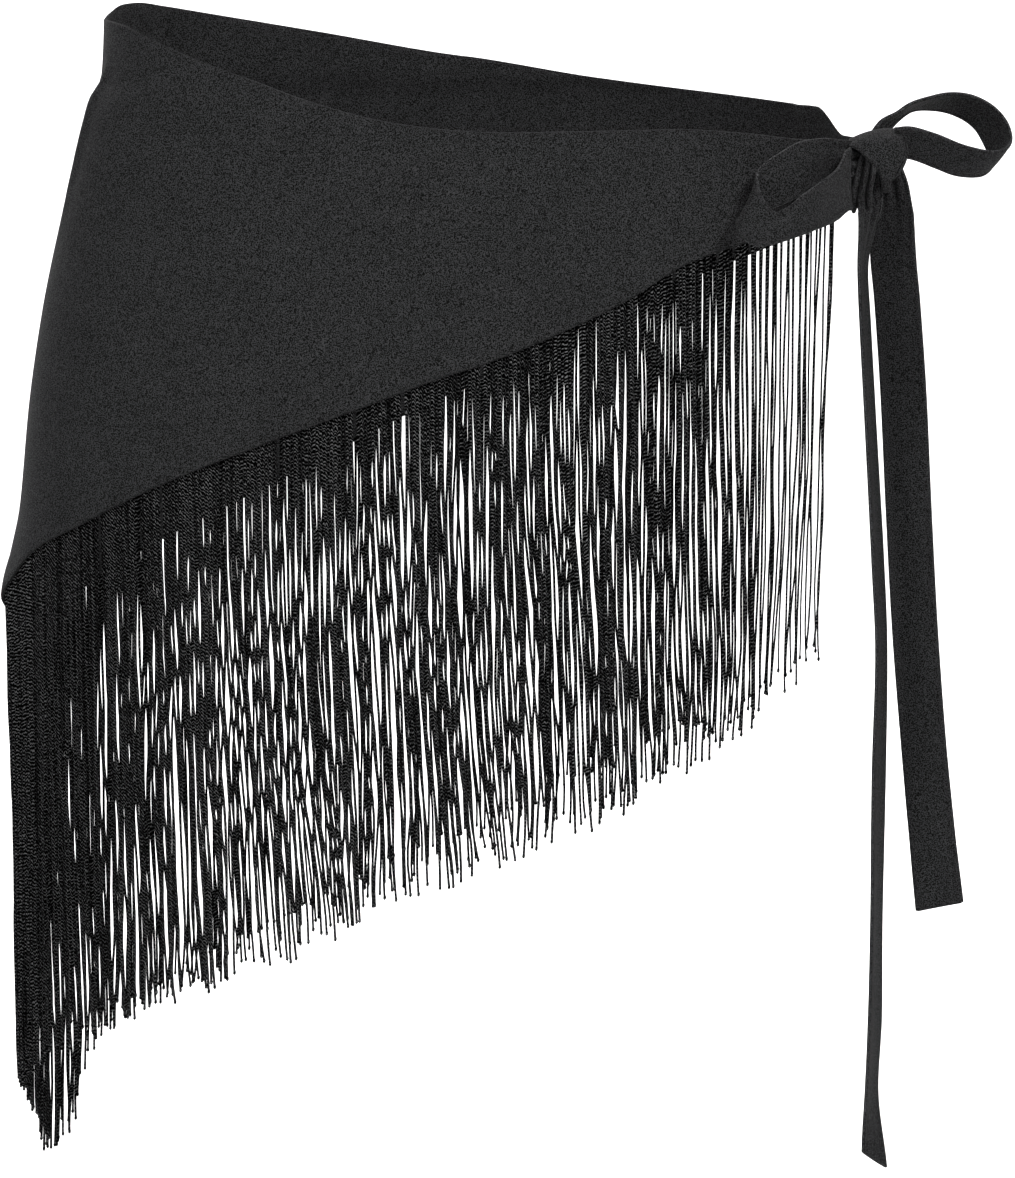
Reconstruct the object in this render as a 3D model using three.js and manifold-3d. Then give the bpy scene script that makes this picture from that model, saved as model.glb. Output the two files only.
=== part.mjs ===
// A worn triangular hip scarf with a long hanging fringe, tied in a bow at the hip on the +X side.
// Millimetres. +Z is up, the front faces -Y, and the origin is the middle of the hollow at the height of the knot.
import * as THREE from "three";
import Module from "manifold-3d";

const wasm = await Module();
wasm.setup();
const { Manifold, Mesh } = wasm;

const CLOTH = 1.5;
const GAP = 0.3;
const TIE_WIDTH = 18.5;
const TIE_THICK = 1.8;
const HEADING = { high: 7, thick: 1.8, below: 0.8 };
const STRAND = { radius: 0.8, spacing: 4.3, uneven: 5, sway: 2.2 };

// The hips are a rounded oval, squarer than an ellipse, shallower in front than behind.
const OVAL_POWER = 2.25;
const FRONT_DEPTH = 0.63;
const BACK_DEPTH = 0.7;

// Half-width of the hips at each height.
const HIPS = [
  { z: -204, half: 189.5 },
  { z: -186, half: 191 },
  { z: -146, half: 185 },
  { z: -105, half: 181 },
  { z: -65, half: 175 },
  { z: -25, half: 166.5 },
  { z: 5, half: 159.5 },
  { z: 22, half: 155 },
  { z: 31, half: 150 },
  { z: 45, half: 149 },
  { z: 62, half: 148.5 },
];

// Heights of the two edges at each angle round the body: 0 is the +X side, 90 the front, 180 the -X side, 270 the back.
const EDGES = [
  { angle: 11, top: 6, hem: -7 },
  { angle: 20, top: 5.5, hem: -11 },
  { angle: 33, top: 6.5, hem: -21 },
  { angle: 47, top: 9.5, hem: -32 },
  { angle: 60, top: 11.2, hem: -41 },
  { angle: 71, top: 10.8, hem: -57 },
  { angle: 86, top: 10.3, hem: -78 },
  { angle: 98, top: 14, hem: -95 },
  { angle: 112, top: 23.5, hem: -112 },
  { angle: 129, top: 35.6, hem: -131 },
  { angle: 146, top: 46.5, hem: -150 },
  { angle: 158, top: 52.5, hem: -161 },
  { angle: 168, top: 55, hem: -174 },
  { angle: 178, top: 56.5, hem: -190 },
  { angle: 186, top: 58.5, hem: -201 },
  { angle: 196, top: 61, hem: -199 },
  { angle: 212, top: 59.5, hem: -190 },
  { angle: 227, top: 55.5, hem: -173 },
  { angle: 248, top: 48, hem: -145 },
  { angle: 268, top: 38.5, hem: -111 },
  { angle: 288, top: 29, hem: -74 },
  { angle: 311, top: 22.3, hem: -49 },
  { angle: 335, top: 17.5, hem: -31 },
  { angle: 343, top: 14.5, hem: -26 },
  { angle: 354, top: 7, hem: -17 },
  { angle: 372, top: 5, hem: -8 },
];

// Where each stretch of cloth starts and ends, and the last degrees in which it narrows towards the knot.
const SIDE_SEAM = 184;
const SEAM_HALF_GAP = 0.08;
const FRONT_END = 13.5;
const BACK_END = 371;
const LEAD = 30;
const LEAD_OUT = 0.045;
const GATHERS = { count: 2.5, deep: 0.9 };

// Soft ridges of the cloth, each along a line from one angle and height to another. A negative one is a trough.
const FOLDS = [
  { angle1: 167, z1: 30, angle2: 170.5, z2: -24, wide: 6, deep: 1.8 },
  { angle1: 177, z1: -172, angle2: 172, z2: -196, wide: 11, deep: 3 },
  { angle1: 28, z1: -4, angle2: 66, z2: -22, wide: 7, deep: 1.4 },
  { angle1: 30, z1: -14, angle2: 60, z2: -44, wide: 6, deep: -1.2 },
  { angle1: 120, z1: 24, angle2: 160, z2: -40, wide: 16, deep: -1.6 },
  { angle1: 345, z1: 2, angle2: 312, z2: -8, wide: 7, deep: 1.4 },
  { angle1: 345, z1: -12, angle2: 318, z2: -34, wide: 6, deep: -1.2 },
  { angle1: 205, z1: 40, angle2: 232, z2: -60, wide: 18, deep: -1.6 },
];

// A smooth curve through a table's rows that never overshoots them.
function curve(rows, key, value) {
  const slopes = rows.slice(1).map((row, i) => (row[value] - rows[i][value]) / (row[key] - rows[i][key]));
  const tangent = rows.map((row, i) => {
    if (i === 0) return slopes[0];
    if (i === rows.length - 1) return slopes[i - 1];
    const before = slopes[i - 1];
    const after = slopes[i];
    return before * after <= 0 ? 0 : (2 * before * after) / (before + after);
  });
  return (at) => {
    const x = THREE.MathUtils.clamp(at, rows[0][key], rows[rows.length - 1][key]);
    const found = rows.findIndex((row, i) => i > 0 && x <= row[key]);
    const i = found < 0 ? rows.length - 1 : found;
    const span = rows[i][key] - rows[i - 1][key];
    const t = (x - rows[i - 1][key]) / span;
    const a = rows[i - 1][value];
    const b = rows[i][value];
    const rise = tangent[i - 1] * span;
    const fall = tangent[i] * span;
    return (
      a * (1 + 2 * t) * (1 - t) * (1 - t) +
      rise * t * (1 - t) * (1 - t) +
      b * t * t * (3 - 2 * t) -
      fall * t * t * (1 - t)
    );
  };
}

const hipHalf = curve(HIPS, "z", "half");
const topAt = curve(EDGES, "angle", "top");
const hemAt = curve(EDGES, "angle", "hem");
const rad = THREE.MathUtils.degToRad;
const smooth = THREE.MathUtils.smoothstep;

// The plain hip form, before any fold.
function onHips(angle, z) {
  const half = hipHalf(z);
  const c = Math.cos(rad(angle));
  const s = Math.sin(rad(angle));
  const depth = s > 0 ? FRONT_DEPTH : BACK_DEPTH;
  return new THREE.Vector3(
    half * Math.sign(c) * Math.abs(c) ** (2 / OVAL_POWER),
    -half * depth * Math.sign(s) * Math.abs(s) ** (2 / OVAL_POWER),
    z,
  );
}

// How far the folds stand out at a place, by its distance from each fold's line.
function foldHeight(angle, z) {
  const perDegree = rad(1) * 140;
  return FOLDS.reduce((sum, fold) => {
    const ax = fold.angle1 * perDegree;
    const bx = fold.angle2 * perDegree;
    const dx = bx - ax;
    const dz = fold.z2 - fold.z1;
    const px = angle * perDegree - ax;
    const pz = z - fold.z1;
    const along = THREE.MathUtils.clamp((px * dx + pz * dz) / (dx * dx + dz * dz), 0, 1);
    const away = Math.hypot(px - along * dx, pz - along * dz) / fold.wide;
    return sum + fold.deep * Math.exp(-away * away);
  }, 0);
}

// 0 on the hips, rising to 1 where a stretch reaches the knot.
function lead(angle) {
  return angle < 180
    ? 1 - smooth(angle, FRONT_END, FRONT_END + LEAD)
    : smooth(angle, BACK_END - LEAD, BACK_END);
}

// The middle of the cloth at an angle and a share of the way from its top edge to its hem.
function clothMiddle(angle, share) {
  const top = topAt(angle);
  const z = top + (hemAt(angle) - top) * share;
  const place = onHips(angle, z);
  const near = lead(angle);
  const gather = GATHERS.deep * near * Math.sin(2 * Math.PI * GATHERS.count * share + 0.6);
  const out = foldHeight(angle, z) + gather;
  const radius = Math.hypot(place.x, place.y);
  const scale = 1 + out / radius + LEAD_OUT * near * near;
  return new THREE.Vector3(place.x * scale, place.y * scale, place.z);
}

// Rows of the cloth get closer towards both edges, and the last one is as high as the fringe's heading.
const CLOTH_ROWS = 12;
const ROW_CROWDING = 0.11;
const LAST_ROW = 1 - 1 / CLOTH_ROWS;
function shareAt(angle, v) {
  const head = HEADING.high / (topAt(angle) - hemAt(angle));
  const way = v / LAST_ROW;
  return v > LAST_ROW
    ? 1 - (head * (1 - v)) / (1 - LAST_ROW)
    : (1 - head) * (way - ROW_CROWDING * Math.sin(2 * Math.PI * way));
}

// A point of a middle surface moved along its normal, outwards for a positive distance.
function offsetPoint(middle, u, v, distance) {
  const step = 1e-3;
  const du = middle(u + step, v).sub(middle(u - step, v));
  const dv = middle(u, v + step).sub(middle(u, v - step));
  const normal = du.cross(dv).normalize();
  return middle(u, v).addScaledVector(normal, distance);
}

const steps = (count) => Array.from({ length: count + 1 }, (_, i) => i / count);

function geometryOf(points, faces) {
  const geometry = new THREE.BufferGeometry().setFromPoints(points);
  geometry.setIndex(faces.flat());
  return geometry;
}

function manifoldOf(geometry) {
  return new Manifold(
    new Mesh({
      numProp: 3,
      vertProperties: new Float32Array(geometry.attributes.position.array),
      triVerts: new Uint32Array(geometry.index.array),
    }),
  );
}

function geometryFrom(manifold) {
  const mesh = manifold.getMesh();
  const geometry = new THREE.BufferGeometry();
  geometry.setAttribute("position", new THREE.BufferAttribute(Float32Array.from(mesh.vertProperties), 3));
  geometry.setIndex(new THREE.BufferAttribute(Uint32Array.from(mesh.triVerts), 1));
  return geometry;
}

// A closed thin sheet round a middle surface, at the given values of u and v.
// Its first and last rows are edgeShare as thick, and shift moves the whole sheet along its normal.
function sheet(middle, us, vs, thick, edgeShare = 1, shift = 0) {
  const points = [];
  const columns = us.length - 1;
  const rows = vs.length - 1;
  const index = (side, i, j) => (side * (columns + 1) + i) * (rows + 1) + j;
  for (const side of [0.5, -0.5]) {
    for (const u of us) {
      vs.forEach((v, j) => {
        const share = j === 0 || j === rows ? edgeShare : 1;
        points.push(offsetPoint(middle, u, v, side * thick * share + shift));
      });
    }
  }
  const faces = [];
  const quad = (a, b, c, d) => faces.push([a, b, c], [a, c, d]);
  for (let i = 0; i < columns; i++) {
    for (let j = 0; j < rows; j++) {
      quad(index(0, i, j), index(0, i + 1, j), index(0, i + 1, j + 1), index(0, i, j + 1));
      quad(index(1, i, j), index(1, i, j + 1), index(1, i + 1, j + 1), index(1, i + 1, j));
    }
    quad(index(0, i, 0), index(1, i, 0), index(1, i + 1, 0), index(0, i + 1, 0));
    quad(index(0, i, rows), index(0, i + 1, rows), index(1, i + 1, rows), index(1, i, rows));
  }
  for (let j = 0; j < rows; j++) {
    quad(index(0, 0, j), index(0, 0, j + 1), index(1, 0, j + 1), index(1, 0, j));
    quad(index(0, columns, j), index(1, columns, j), index(1, columns, j + 1), index(0, columns, j + 1));
  }
  return geometryOf(points, faces);
}

// The two stretches of cloth, the front from the knot round to the -X side and the back from there to the knot.
const frontAngle = (u) => THREE.MathUtils.mapLinear(u, 0, 1, FRONT_END, SIDE_SEAM - SEAM_HALF_GAP);
const backAngle = (u) => THREE.MathUtils.mapLinear(u, 0, 1, SIDE_SEAM + SEAM_HALF_GAP, BACK_END);
const frontCloth = (u, v) => clothMiddle(frontAngle(u), shareAt(frontAngle(u), v));
const backCloth = (u, v) => clothMiddle(backAngle(u), shareAt(backAngle(u), v));
const FRONT_COLUMNS = steps(48);
const BACK_COLUMNS = steps(50);
const wrapFront = sheet(frontCloth, FRONT_COLUMNS, steps(CLOTH_ROWS), CLOTH);
const wrapBack = sheet(backCloth, BACK_COLUMNS, steps(CLOTH_ROWS), CLOTH);

// One strand: a three-sided cord from inside the heading down to its tip, bending at its middle.
function strand(root, along, index, angle) {
  const outward = new THREE.Vector3(-along.y, along.x, 0);
  const length = longAt(angle) + STRAND.uneven * Math.sin(index * 2.39) * Math.cos(index * 0.71);
  const sway = STRAND.sway * Math.sin(index * 0.37);
  const drift = driftAt(angle);
  const inward = inwardAt(angle);
  const stations = [
    { drop: 0, shift: 0, inside: 0 },
    { drop: length * 0.45, shift: drift * 0.35 + sway, inside: inward * 0.4 },
    { drop: length, shift: drift, inside: inward },
  ];
  const sides = 3;
  const points = [];
  for (const { drop, shift, inside } of stations) {
    for (let k = 0; k < sides; k++) {
      const turn = (2 * Math.PI * k) / sides;
      const point = root.clone().addScaledVector(along, shift + STRAND.radius * Math.cos(turn));
      point.addScaledVector(outward, STRAND.radius * Math.sin(turn) - inside);
      point.z -= drop;
      points.push(point);
    }
  }
  const faces = [[0, 1, 2]];
  for (let s = 0; s < stations.length - 1; s++) {
    for (let k = 0; k < sides; k++) {
      const a = s * sides + k;
      const b = s * sides + ((k + 1) % sides);
      faces.push([a, a + sides, b], [b, a + sides, b + sides]);
    }
  }
  const tip = (stations.length - 1) * sides;
  faces.push([tip, tip + 2, tip + 1]);
  return manifoldOf(geometryOf(points, faces));
}

// How the strands hang at each angle: their length, how far their tips lie along the hem towards larger angles,
// and how far inwards of their roots.
const HANG = [
  { angle: 20, long: 187, along: 0, inward: 8 },
  { angle: 40, long: 197, along: 2, inward: 5 },
  { angle: 65, long: 203, along: 0, inward: 0 },
  { angle: 80, long: 203, along: -1, inward: 0 },
  { angle: 130, long: 201, along: -3, inward: 0 },
  { angle: 165, long: 206, along: -1, inward: 0 },
  { angle: 182, long: 220, along: 0, inward: 0 },
  { angle: 195, long: 221, along: 1, inward: 0 },
  { angle: 208, long: 209, along: 2, inward: 0 },
  { angle: 225, long: 201, along: 3, inward: 0 },
  { angle: 300, long: 198, along: 0, inward: 0 },
  { angle: 345, long: 190, along: -2, inward: 7 },
];
const longAt = curve(HANG, "angle", "long");
const driftAt = curve(HANG, "angle", "along");
const inwardAt = curve(HANG, "angle", "inward");

// A stretch's fringe: a heading strip inside the hem, made from the cloth's own points moved inwards,
// and strands at an even distance along the strip's lower edge.
function fringe(cloth, angleOf, columns) {
  const inside = CLOTH / 2 + GAP + HEADING.thick / 2;
  const lowered = (u, v) => {
    const point = cloth(u, v);
    point.z -= (HEADING.below * (v - LAST_ROW)) / (1 - LAST_ROW);
    return point;
  };
  const strip = sheet(lowered, columns, [LAST_ROW, 1], HEADING.thick, 1, -inside);
  const edge = columns.map((u) => offsetPoint(lowered, u, 1, -inside));
  const reach = [0];
  for (let i = 1; i < edge.length; i++) {
    reach.push(reach[i - 1] + Math.hypot(edge[i].x - edge[i - 1].x, edge[i].y - edge[i - 1].y));
  }
  const margin = 1.2;
  const long = reach[reach.length - 1] - 2 * margin;
  const count = Math.floor(long / STRAND.spacing);
  const strands = [];
  for (let n = 0; n <= count; n++) {
    const want = margin + (long * n) / count;
    const i = reach.findIndex((r) => r > want);
    const share = (want - reach[i - 1]) / (reach[i] - reach[i - 1]);
    const root = edge[i - 1].clone().lerp(edge[i], share);
    root.z += 1;
    const along = edge[i].clone().sub(edge[i - 1]).setZ(0).normalize();
    const angle = angleOf(THREE.MathUtils.lerp(columns[i - 1], columns[i], share));
    strands.push(strand(root, along, n, angle));
  }
  return geometryFrom(Manifold.union([manifoldOf(strip), ...strands]));
}

// The last stretch to the knot is bare on both sides.
const BARE_FRONT = 25;
const BARE_BACK = 340;
const fringeFront = fringe(
  frontCloth,
  frontAngle,
  FRONT_COLUMNS.filter((u) => frontAngle(u) > BARE_FRONT),
);
const fringeBack = fringe(
  backCloth,
  backAngle,
  BACK_COLUMNS.filter((u) => backAngle(u) < BARE_BACK),
);

// A ribbon's middle line, its direction across and its share of the full width, a row for each section.
// The direction across points to the ribbon's upper edge.
const LEFT_LOOP = [
  { x: 168, y: -33.5, z: 0, acrossX: -0.2, acrossY: -0.2, acrossZ: 0.95, wide: 0.4 },
  { x: 160.5, y: -46.5, z: -0.9, acrossX: -0.23, acrossY: 0, acrossZ: 0.97, wide: 0.7 },
  { x: 149.7, y: -56.5, z: -1.7, acrossX: -0.21, acrossY: 0, acrossZ: 0.98, wide: 0.95 },
  { x: 140.3, y: -69.5, z: -2.8, acrossX: -0.4, acrossY: 0, acrossZ: 0.9, wide: 1 },
  { x: 129.4, y: -80.5, z: -8.2, acrossX: -0.3, acrossY: 0, acrossZ: 0.95, wide: 1 },
  { x: 119.5, y: -88.5, z: -15.5, acrossX: 0.02, acrossY: 0, acrossZ: 1, wide: 1 },
  { x: 115.1, y: -95, z: -19.9, acrossX: 0.4, acrossY: 0.11, acrossZ: 0.91, wide: 1 },
  { x: 116.8, y: -102.5, z: -23.8, acrossX: 0.35, acrossY: 0.33, acrossZ: 0.88, wide: 1 },
  { x: 120.5, y: -107.5, z: -26.9, acrossX: 0.19, acrossY: 0.57, acrossZ: 0.8, wide: 1 },
  { x: 127, y: -109, z: -27.4, acrossX: -0.04, acrossY: 0.75, acrossZ: 0.63, wide: 1 },
  { x: 135, y: -104, z: -23.6, acrossX: -0.18, acrossY: 0.68, acrossZ: 0.71, wide: 1 },
  { x: 143.8, y: -92, z: -18.7, acrossX: -0.24, acrossY: 0.54, acrossZ: 0.8, wide: 1 },
  { x: 153.1, y: -72, z: -13.9, acrossX: -0.26, acrossY: 0.42, acrossZ: 0.87, wide: 1 },
  { x: 160, y: -55, z: -8.6, acrossX: -0.21, acrossY: 0.35, acrossZ: 0.91, wide: 0.88 },
  { x: 166.5, y: -41, z: -3.4, acrossX: -0.2, acrossY: 0.34, acrossZ: 0.92, wide: 0.55 },
];
const RIGHT_LOOP = [
  { x: 173.5, y: -25, z: 6.5, acrossX: -0.26, acrossY: -0.93, acrossZ: 0.26, wide: 0.45 },
  { x: 176, y: -18.5, z: 11.2, acrossX: -0.2, acrossY: -0.97, acrossZ: 0.14, wide: 0.75 },
  { x: 180.6, y: -11, z: 15.2, acrossX: -0.17, acrossY: -0.98, acrossZ: 0.13, wide: 0.92 },
  { x: 186.6, y: -4, z: 18.6, acrossX: -0.13, acrossY: -0.98, acrossZ: 0.18, wide: 1 },
  { x: 194.6, y: 3, z: 19.9, acrossX: -0.09, acrossY: -0.95, acrossZ: 0.3, wide: 1 },
  { x: 202.7, y: 8, z: 20, acrossX: -0.03, acrossY: -0.89, acrossZ: 0.45, wide: 1 },
  { x: 210.8, y: 10, z: 18, acrossX: 0.1, acrossY: -0.82, acrossZ: 0.56, wide: 1 },
  { x: 217.4, y: 8, z: 13.9, acrossX: 0.33, acrossY: -0.78, acrossZ: 0.53, wide: 1 },
  { x: 221.7, y: 4, z: 8, acrossX: 0.47, acrossY: -0.75, acrossZ: 0.47, wide: 1 },
  { x: 223.6, y: -2, z: 1.5, acrossX: 0.41, acrossY: -0.78, acrossZ: 0.46, wide: 1 },
  { x: 222, y: -8.5, z: -2.6, acrossX: 0.3, acrossY: -0.8, acrossZ: 0.5, wide: 1 },
  { x: 216.2, y: -14.5, z: -4.6, acrossX: 0.22, acrossY: -0.78, acrossZ: 0.57, wide: 1 },
  { x: 205.2, y: -21, z: -2.9, acrossX: 0.14, acrossY: -0.72, acrossZ: 0.68, wide: 1 },
  { x: 194.6, y: -26, z: 1.2, acrossX: 0.08, acrossY: -0.69, acrossZ: 0.72, wide: 1 },
  { x: 184.2, y: -30.5, z: 4.6, acrossX: 0.02, acrossY: -0.65, acrossZ: 0.76, wide: 0.92 },
  { x: 177.5, y: -33, z: 2.5, acrossX: -0.02, acrossY: -0.55, acrossZ: 0.84, wide: 0.5 },
];
const WIDE_TAIL = [
  { x: 176.5, y: -26, z: -6, acrossX: 1, acrossY: -0.3, acrossZ: 0, wide: 0.45 },
  { x: 177, y: -24, z: -14, acrossX: 1, acrossY: -0.3, acrossZ: 0.1, wide: 0.72 },
  { x: 177.3, y: -23, z: -26, acrossX: 1, acrossY: -0.35, acrossZ: 0.1, wide: 0.95 },
  { x: 178, y: -22.5, z: -44, acrossX: 1, acrossY: -0.42, acrossZ: 0, wide: 1 },
  { x: 179.8, y: -22, z: -62, acrossX: 1, acrossY: -0.45, acrossZ: 0, wide: 1 },
  { x: 182.6, y: -22, z: -100, acrossX: 1, acrossY: -0.4, acrossZ: 0, wide: 1 },
  { x: 185.3, y: -22, z: -152, acrossX: 1, acrossY: -0.42, acrossZ: 0, wide: 1 },
  { x: 188.2, y: -22, z: -200, acrossX: 1, acrossY: -0.4, acrossZ: 0, wide: 1 },
  { x: 192, y: -22, z: -246, acrossX: 1, acrossY: -0.3, acrossZ: 0.03, wide: 1 },
  { x: 196, y: -22, z: -286, acrossX: 1, acrossY: -0.15, acrossZ: 0.1, wide: 1 },
  { x: 199.2, y: -22, z: -314.5, acrossX: 1, acrossY: 0, acrossZ: 0.19, wide: 1.05 },
];
const NARROW_TAIL = [
  { x: 171, y: -34, z: -6.5, acrossX: 0.7, acrossY: 0.7, acrossZ: 0, wide: 0.4 },
  { x: 169.4, y: -37.5, z: -15, acrossX: 0.6, acrossY: 0.8, acrossZ: 0, wide: 0.7 },
  { x: 167.2, y: -39, z: -28, acrossX: 0.4, acrossY: 0.92, acrossZ: 0, wide: 1 },
  { x: 165.3, y: -39, z: -46, acrossX: 0.26, acrossY: 0.97, acrossZ: 0, wide: 1 },
  { x: 165.6, y: -38, z: -70, acrossX: 0.25, acrossY: 0.97, acrossZ: 0, wide: 1 },
  { x: 168.7, y: -38, z: -122, acrossX: 0.26, acrossY: 0.97, acrossZ: 0, wide: 1 },
  { x: 171.4, y: -38, z: -168, acrossX: 0.28, acrossY: 0.96, acrossZ: 0, wide: 1 },
  { x: 173.1, y: -38, z: -206, acrossX: 0.27, acrossY: 0.96, acrossZ: 0, wide: 1 },
  { x: 172.4, y: -38, z: -256, acrossX: 0.32, acrossY: 0.95, acrossZ: 0, wide: 1 },
  { x: 171.8, y: -38, z: -318, acrossX: 0.28, acrossY: 0.96, acrossZ: 0, wide: 1 },
  { x: 171.4, y: -38, z: -360, acrossX: 0.32, acrossY: 0.95, acrossZ: 0, wide: 1 },
  { x: 170.2, y: -38, z: -392, acrossX: 0.32, acrossY: 0.95, acrossZ: -0.1, wide: 1 },
  { x: 171.6, y: -38, z: -419, acrossX: 0.6, acrossY: 0.7, acrossZ: -0.5, wide: 1 },
];

// The ribbon's middle surface. grow widens it for the knot's slots, and past its ends it runs on straight.
function ribbonMiddle(rows, grow = 0) {
  const through = (toPoint) => new THREE.CatmullRomCurve3(rows.map(toPoint), false, "centripetal");
  const line = through((row) => new THREE.Vector3(row.x, row.y, row.z));
  const across = through((row) => new THREE.Vector3(row.acrossX, row.acrossY, row.acrossZ).normalize());
  const long = line.getLength();
  const last = rows.length - 1;
  return (u, v) => {
    const t = THREE.MathUtils.clamp(u, 0, 1);
    const k = Math.min(Math.floor(t * last), last - 1);
    const share = THREE.MathUtils.lerp(rows[k].wide, rows[k + 1].wide, t * last - k);
    const side = across.getPoint(t).normalize();
    const width = share * TIE_WIDTH + 2 * grow;
    return line
      .getPoint(t)
      .addScaledVector(line.getTangent(t), (u - t) * long)
      .addScaledVector(side, (0.5 - v) * width);
  };
}

const LOOP_COLUMNS = steps(44);
const WIDE_COLUMNS = steps(28);
const NARROW_COLUMNS = steps(32);
const ribbon = (rows, columns) => sheet(ribbonMiddle(rows), columns, steps(2), TIE_THICK, 0.6);

// What a ribbon's end takes out of the knot, with a clearance all round it.
const CLEAR = 0.4;
function slot(rows, columns, atStart) {
  const beyond = 0.012;
  const us = atStart ? [-beyond, ...columns.slice(0, 8)] : [...columns.slice(-8), 1 + beyond];
  return manifoldOf(sheet(ribbonMiddle(rows, CLEAR), us, steps(2), TIE_THICK + 2 * CLEAR));
}

// What an end of the cloth takes out of the knot, with a clearance all round it.
function clothSlot(cloth, columns, atStart) {
  const beyond = 0.004;
  const us = atStart ? [-beyond, ...columns.slice(0, 5)] : [...columns.slice(-5), 1 + beyond];
  const vs = [-0.05, ...steps(CLOTH_ROWS), 1.06];
  return manifoldOf(sheet(cloth, us, vs, CLOTH + 2 * CLEAR));
}

// The knot: a short band drawn round the ends, wide above and narrow below, with two folds across it.
const KNOT = { x: 172, y: -31, z: -1.5, halfX: 11.5, halfY: 9.5, halfZ: 12.5 };

function knotBody() {
  const turns = 22;
  const levels = 11;
  const points = [new THREE.Vector3(KNOT.x + 0.5, KNOT.y, KNOT.z + KNOT.halfZ)];
  for (let j = 1; j < levels; j++) {
    const polar = (Math.PI * j) / levels;
    const height = Math.cos(polar);
    const waist = Math.sin(polar) * (1 + 0.16 * height);
    for (let i = 0; i < turns; i++) {
      const around = (2 * Math.PI * i) / turns;
      const crease = 1 - 0.035 * Math.cos(3 * around + 2.2 * height);
      points.push(
        new THREE.Vector3(
          KNOT.x + KNOT.halfX * waist * crease * Math.cos(around) + 1.6 * height,
          KNOT.y + KNOT.halfY * waist * crease * Math.sin(around),
          KNOT.z + KNOT.halfZ * height,
        ),
      );
    }
  }
  points.push(new THREE.Vector3(KNOT.x - 0.5, KNOT.y, KNOT.z - KNOT.halfZ));
  const at = (j, i) => 1 + (j - 1) * turns + (i % turns);
  const bottom = points.length - 1;
  const faces = [];
  for (let i = 0; i < turns; i++) {
    faces.push([0, at(1, i), at(1, i + 1)]);
    faces.push([bottom, at(levels - 1, i + 1), at(levels - 1, i)]);
    for (let j = 1; j < levels - 1; j++) {
      faces.push([at(j, i), at(j + 1, i), at(j + 1, i + 1)], [at(j, i), at(j + 1, i + 1), at(j, i + 1)]);
    }
  }
  return manifoldOf(geometryOf(points, faces));
}

const knot = [
  slot(LEFT_LOOP, LOOP_COLUMNS, true),
  slot(LEFT_LOOP, LOOP_COLUMNS, false),
  slot(RIGHT_LOOP, LOOP_COLUMNS, true),
  slot(RIGHT_LOOP, LOOP_COLUMNS, false),
  slot(WIDE_TAIL, WIDE_COLUMNS, true),
  slot(NARROW_TAIL, NARROW_COLUMNS, true),
  clothSlot(frontCloth, FRONT_COLUMNS, true),
  clothSlot(backCloth, BACK_COLUMNS, false),
].reduce((body, cut) => body.subtract(cut), knotBody());

const crepe = { color: 0x2b2b2c, roughness: 0.95, metalness: 0 };
const yarn = { color: 0x1b1b1c, roughness: 0.9, metalness: 0 };
const pieces = [
  ["wrap_front", wrapFront, crepe],
  ["wrap_back", wrapBack, crepe],
  ["fringe_front", fringeFront, yarn],
  ["fringe_back", fringeBack, yarn],
  ["knot", geometryFrom(knot), crepe],
  ["bow_loop_left", ribbon(LEFT_LOOP, LOOP_COLUMNS), crepe],
  ["bow_loop_right", ribbon(RIGHT_LOOP, LOOP_COLUMNS), crepe],
  ["tail_wide", ribbon(WIDE_TAIL, WIDE_COLUMNS), crepe],
  ["tail_narrow", ribbon(NARROW_TAIL, NARROW_COLUMNS), crepe],
];

const scarf = new THREE.Group();
for (const [name, geometry, look] of pieces) {
  geometry.computeVertexNormals();
  const mesh = new THREE.Mesh(geometry, new THREE.MeshStandardMaterial({ ...look, side: THREE.DoubleSide }));
  mesh.name = name;
  scarf.add(mesh);
}

export default scarf;
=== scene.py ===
"""Looks of a black triangular hip scarf with a long cord fringe, tied in a bow.

The tables give the form in millimetres, as the solids have it, and each finished mesh is in metres.
+Z is up, the front faces -Y, and the bow is on the +X side.
"""

import math

import bpy
import numpy as np
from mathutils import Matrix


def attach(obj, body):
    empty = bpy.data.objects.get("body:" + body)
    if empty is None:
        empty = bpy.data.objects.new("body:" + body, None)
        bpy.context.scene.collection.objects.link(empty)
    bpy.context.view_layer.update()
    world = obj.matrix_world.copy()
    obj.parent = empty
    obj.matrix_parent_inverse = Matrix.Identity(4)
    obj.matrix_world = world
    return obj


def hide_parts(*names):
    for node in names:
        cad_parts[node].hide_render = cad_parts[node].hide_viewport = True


MM = 0.001
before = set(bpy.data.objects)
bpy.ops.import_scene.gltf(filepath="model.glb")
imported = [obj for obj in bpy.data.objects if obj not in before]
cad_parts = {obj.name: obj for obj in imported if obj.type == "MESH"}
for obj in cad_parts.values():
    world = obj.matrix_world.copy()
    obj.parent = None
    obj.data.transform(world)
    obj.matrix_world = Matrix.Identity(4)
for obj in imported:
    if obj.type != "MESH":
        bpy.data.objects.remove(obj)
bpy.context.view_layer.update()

# Camera, level with the top edge and looking a little down, from straight in front.
PICTURE_HIGH = 0.4948
EYE_AWAY = 2.5
EYE_TILT = math.radians(6)
LOOK_AT = (0.0183, -0.1833)


def place_camera():
    data = bpy.data.cameras.new("studio_camera")
    data.sensor_width = 36
    data.lens = 36 * EYE_AWAY / PICTURE_HIGH
    data.clip_end = 60
    camera = bpy.data.objects.new("studio_camera", data)
    camera.location = (
        LOOK_AT[0],
        -EYE_AWAY * math.cos(EYE_TILT),
        LOOK_AT[1] + EYE_AWAY * math.sin(EYE_TILT),
    )
    camera.rotation_euler = (math.pi / 2 - EYE_TILT, 0, 0)
    bpy.context.scene.collection.objects.link(camera)
    bpy.context.scene.camera = camera


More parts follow.
